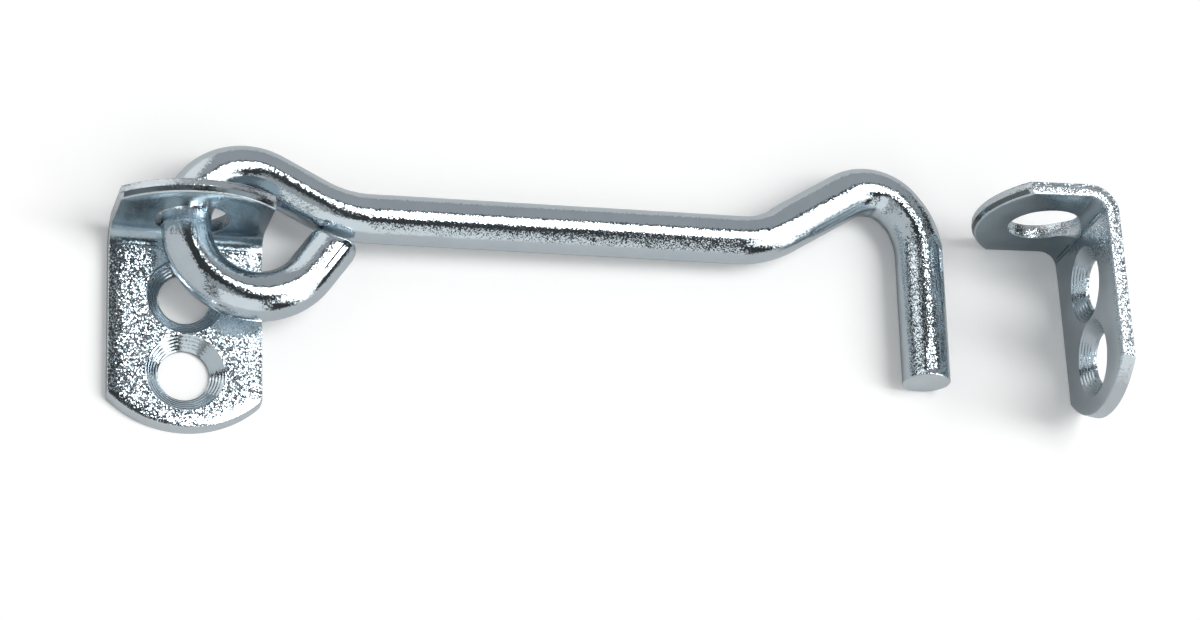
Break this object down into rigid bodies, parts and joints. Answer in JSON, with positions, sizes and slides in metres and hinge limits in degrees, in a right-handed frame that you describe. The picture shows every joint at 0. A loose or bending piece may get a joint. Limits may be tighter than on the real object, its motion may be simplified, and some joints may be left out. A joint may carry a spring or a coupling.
{
  "type": "hook and eye latch",
  "caption": "Cabin hook of bent round rod whose ring swings in the eye of an angled staple plate, with a like catch plate whose eye takes its tip. Holds doors, gates and shutters.",
  "frame": {"origin": "midway between the staple plate's screw holes, on its back face", "axes": "+X along the hook from the staple plate to the catch plate, +Y from the staple plate's rounded end to its flange, +Z out of the surface that the staple plate is screwed to"},
  "size_m": [0.1028, 0.0325, 0.0155],
  "materials": {
    "plate_zinc": "bright zinc plated pressed steel strip, fine speckled grain",
    "rod_zinc": "bright zinc plated steel rod, smooth with fine grain and bending marks"
  },
  "bodies": {
    "staple": {"staple_plate": "plate_zinc"},
    "hook": {"hook": "rod_zinc"},
    "catch": {"catch_plate": "plate_zinc"}
  },
  "joints": [
    {"name": "hook_swing", "type": "hinge", "parent": "staple", "child": "hook", "pos_m": [0, 0.01135, 0.00535], "axis": [0, -1, 0], "range_deg": [0, 184]},
    {"name": "catch_slide", "type": "slide", "parent": "staple", "child": "catch", "axis": [1, 0, 0], "range_m": [-0.002, 0.04]}
  ]
}
